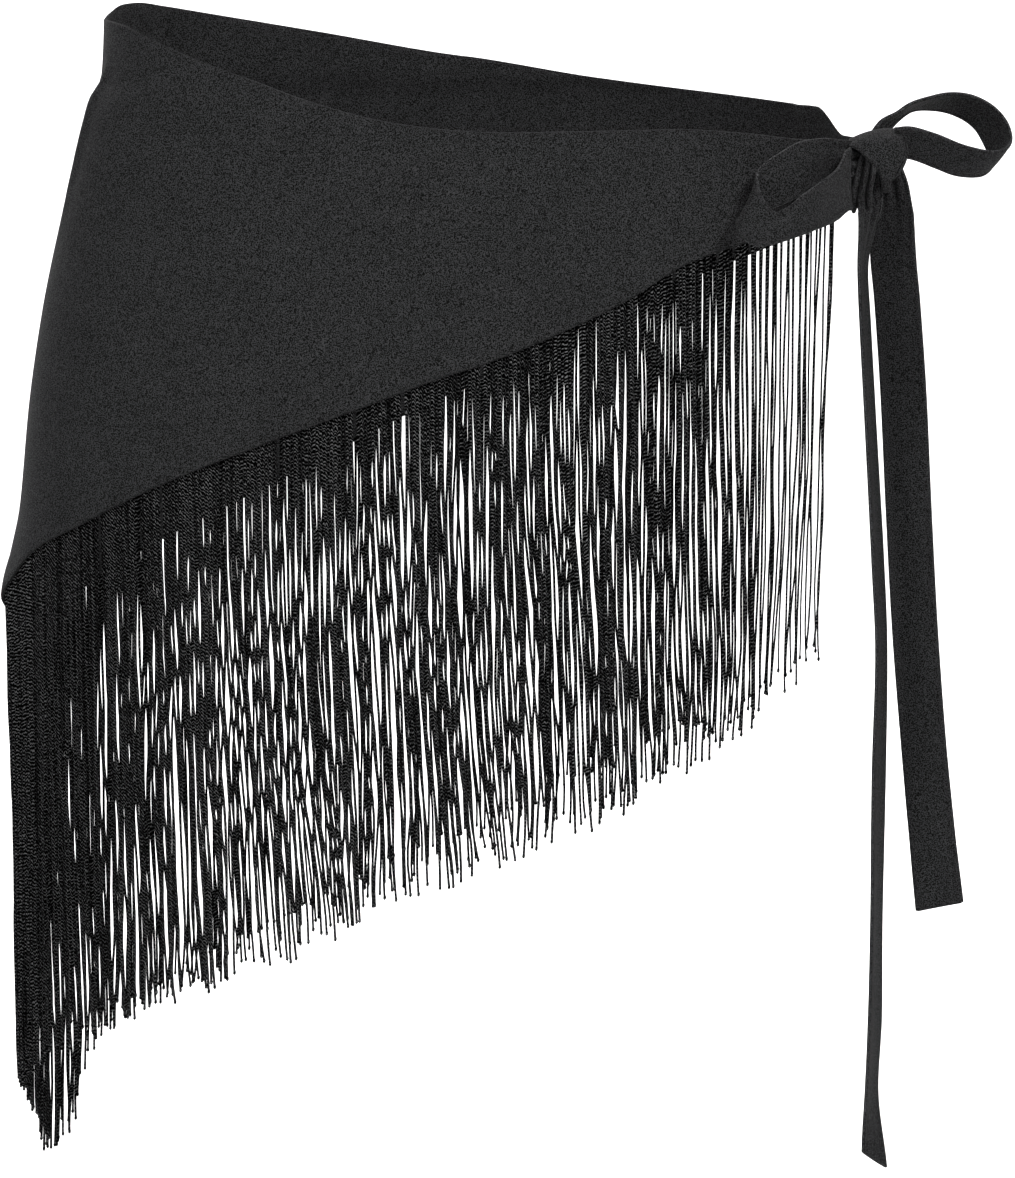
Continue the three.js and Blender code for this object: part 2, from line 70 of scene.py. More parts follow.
# The hips' half-width at each height. The form is a rounded oval, shallower in front than behind.
OVAL_POWER = 2.25
FRONT_DEPTH = 0.63
BACK_DEPTH = 0.7
HIPS = np.array(
    [
        (-204, 189.5),
        (-186, 191),
        (-146, 185),
        (-105, 181),
        (-65, 175),
        (-25, 166.5),
        (5, 159.5),
        (22, 155),
        (31, 150),
        (45, 149),
        (62, 148.5),
    ],
    [("z", float), ("half", float)],
)

# Heights of the cloth's two edges at each angle round the body: 0 is the +X side, 90 the front.
EDGES = np.array(
    [
        (11, 6, -7),
        (20, 5.5, -11),
        (33, 6.5, -21),
        (47, 9.5, -32),
        (60, 11.2, -41),
        (71, 10.8, -57),
        (86, 10.3, -78),
        (98, 14, -95),
        (112, 23.5, -112),
        (129, 35.6, -131),
        (146, 46.5, -150),
        (158, 52.5, -161),
        (168, 54.1, -174),
        (178, 54.8, -190),
        (186, 57, -201),
        (196, 60.4, -199),
        (203, 61, -196),
        (212, 59.5, -190),
        (227, 55.5, -173),
        (248, 48, -145),
        (268, 38.5, -111),
        (288, 29, -74),
        (311, 22.3, -49),
        (335, 17.9, -31),
        (342, 17.3, -27),
        (344.8, 14.3, -25),
        (348.4, 8.8, -21.5),
        (352, 6, -18.5),
        (372, 5, -8),
    ],
    [("angle", float), ("top", float), ("hem", float)],
)

# Where the cloth starts and ends, and the last degrees in which it narrows towards the knot.
FRONT_END = 13.5
BACK_END = 371
LEAD = 30
LEAD_OUT = 0.045

# Gathers and finer ones where the cloth is drawn in to the knot: how many, and how high.
GATHERS = 2.5
GATHER_HIGH = 0.9
FINE_GATHERS = 7
FINE_HIGH = 0.35

# Soft ridges, each from one angle and height to another, where it fades. A negative one is a trough.
FOLDS = np.array(
    [
        (167, 30, 171, -34, 5, 2),
        (335, 34, 336.5, -34, 4, -2),
        (172, -196, 177, -168, 11, 3),
        (28, -4, 66, -22, 7, 1.4),
        (30, -14, 60, -44, 6, -1.2),
        (120, 24, 160, -40, 16, -1.6),
        (345, 2, 312, -8, 7, 1.4),
        (345, -12, 318, -34, 6, -1.2),
        (205, 40, 232, -60, 18, -1.6),
    ],
    [(name, float) for name in ("angle1", "z1", "angle2", "z2", "wide", "deep")],
)

# How much of a fold is gone at its far end, and the radius at which its angles are made millimetres.
FOLD_FADE = 0.85
MEAN_RADIUS = 140

# How the fringe hangs: its length, how far the tips lie along the hem and inwards, how many of the
# strands are there, how thick they are beside the thickest, and how much they draw together.
HANG = np.array(
    [
        (20, 186, -4, 8, 0.22, 0.86, 0.1),
        (42, 193, 0, 5, 0.24, 0.88, 0.25),
        (52, 200, 2, 0, 0.86, 0.95, 0.9),
        (65, 203, 4, 0, 0.95, 1, 1),
        (80, 198, 8, 0, 0.96, 1, 1),
        (100, 200, 12, 0, 0.96, 1, 1),
        (130, 206, 13, 0, 0.96, 1, 1),
        (145, 204, 9, 0, 0.97, 1, 1.1),
        (158, 208, 5, 0, 1, 1, 1.1),
        (168, 207, 2, 2, 1, 1, 1.1),
        (176, 200, 0, 4, 1, 1, 1.1),
        (184, 201, -1, 3, 1, 1, 1.1),
        (190, 218, -2, 3, 1, 1, 1.1),
        (197, 230, -3, 1, 1, 1, 1.1),
        (203, 230, -4, 0, 1, 1, 1.1),
        (208, 216, -3, 0, 0.97, 1, 1),
        (213, 197, 0, 0, 0.92, 1, 1),
        (225, 199, 2, 0, 0.85, 1, 1),
        (300, 198, 0, 0, 0.8, 1, 1),
        (312, 196, 0, 2, 0.5, 0.85, 0.5),
        (345, 190, -2, 7, 0.3, 0.78, 0.1),
    ],
    [(name, float) for name in ("angle", "long", "along", "inward", "dense", "thick", "bunched")],
)


def curve(rows, key, value):
    """A smooth curve through a table's rows that never overshoots them."""
    x = rows[key]
    y = rows[value]
    slopes = np.diff(y) / np.diff(x)
    before = slopes[:-1]
    after = slopes[1:]
    same = before * after > 0
    total = np.where(same, before + after, 1)
    inner = np.where(same, 2 * before * after / total, 0)
    tangent = np.concatenate([slopes[:1], inner, slopes[-1:]])

    def at(where):
        where = np.clip(where, x[0], x[-1])
        i = np.clip(np.searchsorted(x, where), 1, len(x) - 1)
        span = x[i] - x[i - 1]
        t = (where - x[i - 1]) / span
        rise = tangent[i - 1] * span
        fall = tangent[i] * span
        start = y[i - 1] * (1 + 2 * t) * (1 - t) ** 2 + rise * t * (1 - t) ** 2
        return start + y[i] * t * t * (3 - 2 * t) - fall * t * t * (1 - t)

    return at


hip_half = curve(HIPS, "z", "half")
top_at = curve(EDGES, "angle", "top")
hem_at = curve(EDGES, "angle", "hem")


def smooth(x, low, high):
    """A soft step from 0 at low to 1 at high."""
    t = np.clip((x - low) / (high - low), 0, 1)
    return t * t * (3 - 2 * t)


def on_hips(angle, z):
    """The plain hip form, before any fold."""
    half = hip_half(z)
    c = np.cos(np.radians(angle))
    s = np.sin(np.radians(angle))
    depth = np.where(s > 0, FRONT_DEPTH, BACK_DEPTH)
    x = half * np.sign(c) * np.abs(c) ** (2 / OVAL_POWER)
    y = -half * depth * np.sign(s) * np.abs(s) ** (2 / OVAL_POWER)
    return x, y


def fold_height(angle, z):
    """How far the folds lift the cloth off the plain hip form."""
    per_degree = math.radians(1) * MEAN_RADIUS
    total = np.zeros(np.broadcast(angle, z).shape)
    for fold in FOLDS:
        ax = fold["angle1"] * per_degree
        dx = fold["angle2"] * per_degree - ax
        dz = fold["z2"] - fold["z1"]
        px = angle * per_degree - ax
        pz = z - fold["z1"]
        along = np.clip((px * dx + pz * dz) / (dx * dx + dz * dz), 0, 1)
        away = np.hypot(px - along * dx, pz - along * dz) / fold["wide"]
        total = total + fold["deep"] * (1 - FOLD_FADE * along**2) * np.exp(-away * away)
    return total


def lead(angle):
    """0 on the hips, rising to 1 where the cloth reaches the knot."""
    front = 1 - smooth(angle, FRONT_END, FRONT_END + LEAD)
    back = smooth(angle, BACK_END - LEAD, BACK_END)
    return np.where(angle < 180, front, back)


def cloth_middle(angle, share):
    """The middle of the cloth at an angle and a share of the way from its top edge to its hem."""
    top = top_at(angle)
    z = top + (hem_at(angle) - top) * share
    x, y = on_hips(angle, z)
    near = lead(angle)
    gather = GATHER_HIGH * near * np.sin(2 * np.pi * GATHERS * share + 0.6)
    fine = FINE_HIGH * near * np.sin(2 * np.pi * FINE_GATHERS * share + 0.05 * angle)
    out = fold_height(angle, z) + gather + fine
    scale = 1 + out / np.hypot(x, y) + LEAD_OUT * near * near
    return np.stack([x * scale, y * scale, z], -1)


def unit(vectors):
    return vectors / np.linalg.norm(vectors, axis=-1, keepdims=True)


def normals_of(grid):
    """Unit normals of a grid of points, across u and then v."""
    du = np.gradient(grid, axis=0)
    dv = np.gradient(grid, axis=1)
    return unit(np.cross(du, dv))


def mesh_piece(name, points, faces, material):
    data = bpy.data.meshes.new(name)
    data.from_pydata((np.asarray(points) * MM).tolist(), [], [list(f) for f in faces])
    data.polygons.foreach_set("use_smooth", [True] * len(data.polygons))
    data.materials.append(material)
    piece = bpy.data.objects.new(name, data)
    bpy.context.scene.collection.objects.link(piece)
    return piece


def mapped(piece, us, vs):
    """A UV map from a value across and a value along for each point."""
    layer = piece.data.uv_layers.new(name="cloth")
    corners = np.zeros(len(piece.data.loops), int)
    piece.data.loops.foreach_get("vertex_index", corners)
    pairs = np.stack([np.asarray(us)[corners], np.asarray(vs)[corners]], -1)
    layer.data.foreach_set("uv", pairs.astype(np.float32).ravel())


# How far a shell's rounded rim stands out, as a share of the thickness.
RIM_OUT = 0.45


def shell_faces(columns, rows):
    """The quads of a shell: both faces and the four rims between them, in shell's order of points."""
    size = columns * rows
    out = np.arange(size).reshape(columns, rows)
    into = out + size
    first_v = 2 * size + np.arange(columns)
    last_v = first_v + columns
    inner_u = 2 * size + 2 * columns + np.arange(rows - 2)
    first_u = np.concatenate([first_v[:1], inner_u, last_v[:1]])
    last_u = np.concatenate([first_v[-1:], inner_u + rows - 2, last_v[-1:]])
    quads = [
        np.stack([out[:-1, :-1], out[1:, :-1], out[1:, 1:], out[:-1, 1:]], -1),
        np.stack([into[:-1, :-1], into[:-1, 1:], into[1:, 1:], into[1:, :-1]], -1),
        np.stack([out[:-1, 0], first_v[:-1], first_v[1:], out[1:, 0]], -1),
        np.stack([first_v[:-1], into[:-1, 0], into[1:, 0], first_v[1:]], -1),
        np.stack([out[1:, -1], last_v[1:], last_v[:-1], out[:-1, -1]], -1),
        np.stack([last_v[1:], into[1:, -1], into[:-1, -1], last_v[:-1]], -1),
        np.stack([out[0, 1:], first_u[1:], first_u[:-1], out[0, :-1]], -1),
        np.stack([first_u[1:], into[0, 1:], into[0, :-1], first_u[:-1]], -1),
        np.stack([out[-1, :-1], last_u[:-1], last_u[1:], out[-1, 1:]], -1),
        np.stack([last_u[:-1], into[-1, :-1], into[-1, 1:], last_u[1:]], -1),
    ]
    return np.concatenate([q.reshape(-1, 4) for q in quads]).tolist()


def shell_order(outer, inner, first_v, last_v, first_u, last_u):
    """The points of a shell, or a value at each of them, in one row."""
    shape = (-1,) + outer.shape[2:]
    return np.concatenate([outer.reshape(shape), inner.reshape(shape), first_v, last_v, first_u, last_u])


def shell(name, middle, thick, material, pad=None, painted_edge_tone=1):
    """A closed thin cloth round a grid of middle points, with rounded edges.

    pad adds to the thickness at each point, on both faces.
    The edge tone argument is 1 where the rims get a painted highlight, and below 0 where they get
    painted shade.
    """
    columns, rows = middle.shape[:2]
    normal = normals_of(middle)
    half = np.full((columns, rows), thick / 2)
    if pad is not None:
        half = half + pad
    across = unit(np.gradient(middle, axis=1))
    along = unit(np.gradient(middle, axis=0))
    points = shell_order(
        middle + normal * half[..., None],
        middle - normal * half[..., None],
        middle[:, 0] - across[:, 0] * thick * RIM_OUT,
        middle[:, -1] + across[:, -1] * thick * RIM_OUT,
        middle[0, 1:-1] - along[0, 1:-1] * thick * RIM_OUT,
        middle[-1, 1:-1] + along[-1, 1:-1] * thick * RIM_OUT,
    )
    piece = mesh_piece(name, points, shell_faces(columns, rows), material)
    # The rims carry the edge tone: a painted highlight at 1, and painted shade below 0.
    painted_edge_values = np.zeros(len(points), np.float32)
    painted_edge_values[2 * columns * rows :] = painted_edge_tone
    fold = piece.data.attributes.new("edge", "FLOAT", "POINT")
    fold.data.foreach_set("value", painted_edge_values)
    run = np.linalg.norm(np.diff(middle[:, rows // 2], axis=0), axis=1)
    us = np.concatenate([[0], np.cumsum(run)])
    us = np.repeat(us[:, None], rows, axis=1)
    rise = np.linalg.norm(np.diff(middle, axis=1), axis=2)
    vs = np.concatenate([np.zeros((columns, 1)), np.cumsum(rise, axis=1)], axis=1)
    flat_u, flat_v = (
        shell_order(w, w, w[:, 0], w[:, -1], w[0, 1:-1], w[-1, 1:-1]) for w in (us, vs)
    )
    mapped(piece, flat_u * MM, flat_v * MM)
    return piece


# Materials


class Recipe:
    """A material's nodes, wired by name."""

    def __init__(self, name):
        self.material = bpy.data.materials.new(name)
        self.material.use_nodes = True
        self.tree = self.material.node_tree
        self.finish = self.tree.nodes["Principled BSDF"]

    def node(self, kind, settings=None, **inputs):
        made = self.tree.nodes.new("ShaderNode" + kind)
        for key, value in (settings or {}).items():
            setattr(made, key, value)
        for key, value in inputs.items():
            self.wire(made.inputs[key.replace("_", " ")], value)
        return made

    def wire(self, socket, value):
        if isinstance(value, bpy.types.NodeSocket):
            self.tree.links.new(value, socket)
        else:
            socket.default_value = value

    def maths(self, kind, first, second=0.0):
        made = self.tree.nodes.new("ShaderNodeMath")
        made.operation = kind
        self.wire(made.inputs[0], first)
        self.wire(made.inputs[1], second)
        return made.outputs[0]

    def between(self, dark, light, share):
        """A colour at a share of the way from a dark one to a light one."""
        made = self.node("Mix", {"data_type": "RGBA"})
        self.wire(made.inputs["Factor"], share)
        self.wire(made.inputs[6], dark)
        self.wire(made.inputs[7], light)
        return made.outputs[2]

    def lifted(self, colour, times):
        """A colour made lighter or darker."""
        made = self.node("Mix", {"data_type": "RGBA", "blend_type": "MULTIPLY"})
        self.wire(made.inputs["Factor"], 1.0)
        self.wire(made.inputs[6], colour)
        self.wire(made.inputs[7], times)
        return made.outputs[2]

    def done(self, colour, bump=None, **values):
        """The material, with its colour, its bump and the values that are the same all over."""
        self.wire(self.finish.inputs["Base Color"], colour)
        if bump is not None:
            self.wire(self.finish.inputs["Normal"], bump.outputs["Normal"])
        for key, value in values.items():
            self.finish.inputs[key.replace("_", " ")].default_value = value
        return self.material


# Tones of the crepe and the yarn, how much lighter an edge is painted as a highlight, how far the
# crepe's grain is drawn out from front to back, and the length of one link of the yarn in metres.
CREPE_DARK = (0.0003, 0.0003, 0.0003, 1)
CREPE_LIGHT = (0.0215, 0.0215, 0.0223, 1)
PAINTED_EDGE_HIGHLIGHT = 2.1
GRAIN_DEPTH = 0.4
YARN_DARK = (0.0002, 0.0002, 0.0002, 1)
# The yarn's light tone is a painted glint on its links.
YARN_PAINTED_GLINT = (0.1, 0.1, 0.102, 1)
LINK_PITCH = 0.00155


def crepe_cloth():
    """Matt black crepe: a fine pebbled grain with a slight sheen."""
    recipe = Recipe("black_crepe")
    place = recipe.node("TexCoord").outputs["Object"]
    drawn_out = recipe.node("Mapping", Vector=place, Scale=(1, GRAIN_DEPTH, 1)).outputs["Vector"]
    grain = recipe.node("TexNoise", Vector=drawn_out, Scale=2900, Detail=0)
    pebble = recipe.node("TexNoise", Vector=drawn_out, Scale=1700, Detail=0)
    patches = recipe.node("TexNoise", Vector=place, Scale=45, Detail=2, Roughness=0.5)
    softer = recipe.maths("MULTIPLY", pebble.outputs["Fac"], 0.45)
    mixed = recipe.maths("ADD", grain.outputs["Fac"], softer)
    tone = recipe.node("MapRange", Value=mixed, From_Min=0.66, From_Max=0.83)
    shade = recipe.between(CREPE_DARK, CREPE_LIGHT, tone.outputs["Result"])
    drift = recipe.node(
        "MapRange", Value=patches.outputs["Fac"], From_Min=0.3, From_Max=0.7, To_Min=0.93, To_Max=1.07
    )
    # A painted highlight lightens rims where the edge value is above 0, and painted shade darkens them
    # where it is below 0.
    edge = recipe.node("Attribute", {"attribute_name": "edge"}).outputs["Fac"]
    painted_edge_lift = recipe.node("MapRange", {"clamp": False}, Value=edge, To_Min=1.0, To_Max=PAINTED_EDGE_HIGHLIGHT)
    shade = recipe.lifted(recipe.lifted(shade, drift.outputs["Result"]), painted_edge_lift.outputs["Result"])
    bump = recipe.node("Bump", Strength=0.6, Distance=0.0002, Height=mixed)
    return recipe.done(
        shade, bump, Roughness=0.9, Specular_IOR_Level=0.08, Sheen_Weight=0.01, Sheen_Roughness=0.45
    )


def chained_yarn():
    """Blacker chained yarn: small links one over another down each strand, with painted glints on the
    links.
    """
    recipe = Recipe("black_yarn")
    place = recipe.node("TexCoord").outputs["Object"]
    wander = recipe.node("TexNoise", Vector=place, Scale=420, Detail=1, Roughness=0.5)
    parts = recipe.node("SeparateXYZ", Vector=place)
    turns = recipe.maths("MULTIPLY", parts.outputs["Z"], 2 * math.pi / LINK_PITCH)
    strand = recipe.node("Attribute", {"attribute_name": "strand"}).outputs["Fac"]
    looser = recipe.maths("ADD", 1.0, recipe.maths("MULTIPLY", strand, 0.08))
    turns = recipe.maths("MULTIPLY", turns, looser)
    shifted = recipe.maths("ADD", turns, recipe.maths("MULTIPLY", wander.outputs["Fac"], 9.0))
    shifted = recipe.maths("ADD", shifted, recipe.maths("MULTIPLY", strand, 60.0))
    side = recipe.node("Attribute", {"attribute_name": "side"}).outputs["Fac"]
    shifted = recipe.maths("ADD", shifted, recipe.maths("MULTIPLY", side, 2 * math.pi))
    links = recipe.maths("SINE", shifted)
    level = recipe.node("MapRange", Value=links, From_Min=0.25, From_Max=1.0)
    # Painted glints: noise and each strand set how bright the painted highlight on each link is.
    glint = recipe.node("TexNoise", Vector=place, Scale=1500, Detail=0)
    spark = recipe.node(
        "MapRange", Value=glint.outputs["Fac"], From_Min=0.35, From_Max=0.75, To_Min=0.15, To_Max=1.6
    )
    duller = recipe.node("MapRange", Value=strand, From_Min=-1.0, From_Max=1.0, To_Min=0.3, To_Max=1.4)
    light = recipe.maths("MULTIPLY", spark.outputs["Result"], duller.outputs["Result"])
    light = recipe.maths("MULTIPLY", level.outputs["Result"], light)
    shade = recipe.between(YARN_DARK, YARN_PAINTED_GLINT, light)
    bump = recipe.node("Bump", Strength=0.9, Distance=0.0004, Height=level.outputs["Result"])
    return recipe.done(shade, bump, Roughness=0.8, Specular_IOR_Level=0.0)


def studio_white():
    recipe = Recipe("studio_paper")
    place = recipe.node("TexCoord").outputs["Object"]
    fibre = recipe.node("TexNoise", Vector=place, Scale=60, Detail=3, Roughness=0.5)
    tone = recipe.node("MapRange", Value=fibre.outputs["Fac"], To_Min=0.95, To_Max=0.97)
    return recipe.done(tone.outputs["Result"], Roughness=0.95)


CREPE = crepe_cloth()
YARN = chained_yarn()


# The body of the scarf

# The cloth's thickness, the grid of the body, the painted shade along its edges, its flat size, and how
# finely and at what height the way round the hips is measured.
CLOTH = 1.3
WRAP_COLUMNS = 340
WRAP_ROWS = 76
WRAP_PAINTED_EDGE_SHADE = -0.45
ANGLE_STEPS = 4000
MEASURED_AT = -20.0


def even_angles(start, end, count):
    """Angles at even distances round the hips."""
    fine = np.linspace(start, end, ANGLE_STEPS)
    x, y = on_hips(fine, np.full(fine.shape, MEASURED_AT))
    reach = np.concatenate([[0], np.cumsum(np.hypot(np.diff(x), np.diff(y)))])
    return np.interp(np.linspace(0, reach[-1], count), reach, fine)


def make_wrap():
    angles = even_angles(FRONT_END, BACK_END, WRAP_COLUMNS)
    shares = np.linspace(0, 1, WRAP_ROWS)
    middle = cloth_middle(angles[:, None], shares[None, :])
    # The body's rims are darkened with painted shade.
    wrap = shell("wrap", middle, CLOTH, CREPE, painted_edge_tone=WRAP_PAINTED_EDGE_SHADE)
    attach(wrap, "root")
    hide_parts("wrap_front", "wrap_back")
    return wrap


# The ties and the bow. Each row of a table is a section: its middle, its direction across and its
# share of the width. The seam line lies at a share of the width, and both edges swell a little.
# Pleats deepen up to the most that a ribbon counts as drawn in.
TIE_WIDTH = 18.5
TIE_THICK = 1.25
RIBBON_ROWS = 25
PLEATS = 3
SEAM_AT = 0.12
SEAM_DEEP = 0.28
SEAM_LINE = 0.025
EDGE_ROLL = 0.16
ROLL_WIDE = 0.05
DRAWN_MOST = 0.6
PATH_STEPS = 600
RIBBON_COLUMNS = ("x", "y", "z", "across_x", "across_y", "across_z", "wide")


def ribbon_table(rows):
    return np.array(rows, [(name, float) for name in RIBBON_COLUMNS])


LEFT_LOOP = ribbon_table(
    [
        (168, -33.5, 0, -0.2, -0.2, 0.95, 0.4),
        (160.5, -46.5, -0.9, -0.23, 0, 0.97, 0.7),
        (149.7, -56.5, -1.7, -0.21, 0, 0.98, 0.95),
        (140.3, -69.5, -2.8, -0.4, 0, 0.9, 1),
        (129.4, -80.5, -8.2, -0.3, 0, 0.95, 1),
        (118.2, -88.5, -13.5, 0.15, 0.1, 0.98, 1),
        (114.6, -95.5, -17.2, 0.46, 0.3, 0.84, 1),
        (116, -103, -23, 0.5, 0.45, 0.73, 1),
        (121, -108.3, -27.4, 0.46, 0.58, 0.67, 1),
        (127.3, -109.5, -26, 0.35, 0.54, 0.77, 1),
        (133.8, -104.5, -22.9, 0.22, 0.44, 0.87, 1),
        (142.9, -92, -18.9, 0.11, 0.25, 0.96, 1.03),
        (151.5, -75, -15, 0.02, 0.15, 0.98, 1.1),
        (156.1, -63.5, -10, -0.02, 0.1, 0.99, 1.3),
        (158, -58.5, -9.2, -0.02, 0.1, 0.99, 1.34),
    ]
)
LOOP_GATHERS = ribbon_table(
    [
        (162.6, -37, -22, 1, -0.1, 0, 0.46),
        (162.6, -43, -20, 1, -0.15, 0, 0.48),
        (162.6, -48, -14, 1, -0.25, 0.05, 0.52),
        (163.8, -49.5, -8, 1, -0.25, 0.1, 0.52),
        (165.2, -48, -2.5, 1, -0.3, 0.2, 0.5),
        (167.5, -43, 3, 1, -0.3, 0.2, 0.45),
    ]
)
RIGHT_LOOP = ribbon_table(
    [
        (171, -27, 6.9, -0.3, -0.9, 0.3, 0.6),
        (174.8, -19, 11.4, -0.26, -0.94, 0.24, 0.85),
        (180.6, -11, 15.2, -0.17, -0.98, 0.13, 0.92),
        (186.6, -4, 18.6, -0.13, -0.98, 0.18, 1),
        (194.6, 3, 19.9, -0.09, -0.95, 0.3, 1),
        (202.7, 8, 20, -0.03, -0.89, 0.45, 1),
        (210.8, 10, 18, 0.1, -0.82, 0.56, 1),
        (217.4, 8, 13.9, 0.33, -0.78, 0.53, 1),
        (221.7, 4, 8, 0.47, -0.75, 0.47, 1),
        (223.6, -2, 1.5, 0.41, -0.78, 0.46, 1),
        (222, -8.5, -2.6, 0.3, -0.8, 0.5, 1),
        (216.2, -14.5, -4.6, 0.22, -0.78, 0.57, 1),
        (205.2, -21, -2.9, 0.14, -0.72, 0.68, 1),
        (194.6, -26, 1.2, 0.08, -0.69, 0.72, 1),
        (184.2, -30.5, 4.6, 0.02, -0.65, 0.76, 0.92),
        (177, -34.5, 4.6, 0, -0.6, 0.8, 0.84),
    ]
)
WIDE_TAIL = ribbon_table(
    [
        (176.5, -26, -6, 1, -0.3, 0, 0.45),
        (177, -24, -14, 1, -0.3, 0.1, 0.72),
        (177.3, -23, -26, 1, -0.28, 0.1, 0.95),
        (178, -22.5, -44, 1, -0.26, 0, 1),
        (179.8, -22, -62, 1, -0.28, 0, 1),
        (182.6, -22, -100, 1, -0.25, 0, 1),
        (185.3, -22, -152, 1, -0.26, 0, 1),
        (188.2, -22, -200, 1, -0.25, 0, 1),
        (192, -22, -246, 1, -0.3, 0.03, 1),
        (196, -22, -286, 1, -0.15, 0.1, 1),
        (199.2, -22, -314.5, 1, 0, 0.19, 1.05),
    ]
)
NARROW_TAIL = ribbon_table(
    [
        (166.5, -39.5, 0, 0.85, 0.5, 0.15, 0.62),
        (166.2, -42.8, -7.5, 0.85, 0.52, 0.05, 0.64),
        (167.2, -43.2, -14.5, 0.8, 0.6, 0, 0.66),
        (167.2, -42.6, -21.5, 0.68, 0.73, 0, 0.74),
        (165.9, -41, -31, 0.4, 0.92, 0, 0.95),
        (164.4, -39.5, -46, 0.24, 0.97, 0, 1),
        (165.6, -38, -70, 0.25, 0.97, 0, 1),
        (168.7, -38, -122, 0.26, 0.97, 0, 1),
        (171.4, -38, -168, 0.28, 0.96, 0, 1),
        (173.1, -38, -206, 0.27, 0.96, 0, 1),
        (172.4, -38, -256, 0.32, 0.95, 0, 1),
        (171.8, -38, -318, 0.28, 0.96, 0, 1),
        (171.4, -38, -360, 0.32, 0.95, 0, 1),
        (170.2, -38, -392, 0.32, 0.95, -0.1, 1),
        (171.6, -38, -419, 0.6, 0.7, -0.5, 1),
    ]
)


def through(values, t):
    """A smooth curve through evenly spaced rows of values, at t from 0 to 1."""
    last = len(values) - 1
    padded = np.concatenate([[2 * values[0] - values[1]], values, [2 * values[-1] - values[-2]]])
    at = np.clip(t, 0, 1) * last
    k = np.minimum(at.astype(int), last - 1)
    s = (at - k)[:, None]
    a, b, c, d = (padded[k + i] for i in range(4))
    return 0.5 * (
        2 * b + (c - a) * s + (2 * a - 5 * b + 4 * c - d) * s**2 + (3 * b - a - 3 * c + d) * s**3
    )


def ribbon_middle(table, columns, rows, pleat_deep=1.7, crown=0.5):
    """A ribbon's middle surface, pleated where it is drawn narrow and a little crowned elsewhere."""
    steps = np.linspace(0, 1, PATH_STEPS)
    middles = np.stack([table[n] for n in ("x", "y", "z")], -1)
    line = through(middles, steps)
    reach = np.concatenate([[0], np.cumsum(np.linalg.norm(np.diff(line, axis=0), axis=1))])
    t = np.interp(np.linspace(0, reach[-1], columns), reach, steps)
    centre = through(middles, t)
    across = np.stack([table[n] for n in ("across_x", "across_y", "across_z")], -1)
    side = unit(through(unit(across), t))
    wide = np.interp(t * (len(table) - 1), np.arange(len(table)), table["wide"])
    v = np.linspace(0, 1, rows)
    reach_out = (0.5 - v)[None, :] * wide[:, None] * TIE_WIDTH
    flat = centre[:, None] + side[:, None] * reach_out[..., None]
    drawn = np.clip(1 - wide, 0, DRAWN_MOST)
    pleat = pleat_deep * 2 * drawn[:, None] * np.sin(2 * np.pi * PLEATS * v + 0.4)[None, :]
    bulge = crown * np.minimum(wide, 1)[:, None] * (1 - (2 * v - 1) ** 2)[None, :]
    return flat + normals_of(flat) * (pleat + bulge)[..., None]


def seam_pad(columns):
    """A turned tie is thicker along the seam allowance at one edge, and thin at the line beside it."""
    v = np.linspace(0, 1, RIBBON_ROWS)
    groove = -SEAM_DEEP * np.exp(-(((v - (1 - SEAM_AT)) / SEAM_LINE) ** 2))
    seam_edge = EDGE_ROLL * np.exp(-(((v - 1 + SEAM_AT / 2) / ROLL_WIDE) ** 2))
    folded_edge = EDGE_ROLL * np.exp(-(((v - ROLL_WIDE) / ROLL_WIDE) ** 2))
    return np.repeat((groove + (seam_edge + folded_edge))[None, :], columns, axis=0)


def make_ribbon(name, table, columns=170, flip=False):
    middle = ribbon_middle(table, columns, RIBBON_ROWS)
    pad = seam_pad(columns)
    piece = shell(name, middle, TIE_THICK, CREPE, pad[:, ::-1] if flip else pad)
    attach(piece, "root")
    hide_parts(name.replace("_cloth", ""))
    return piece


# Geometry Nodes


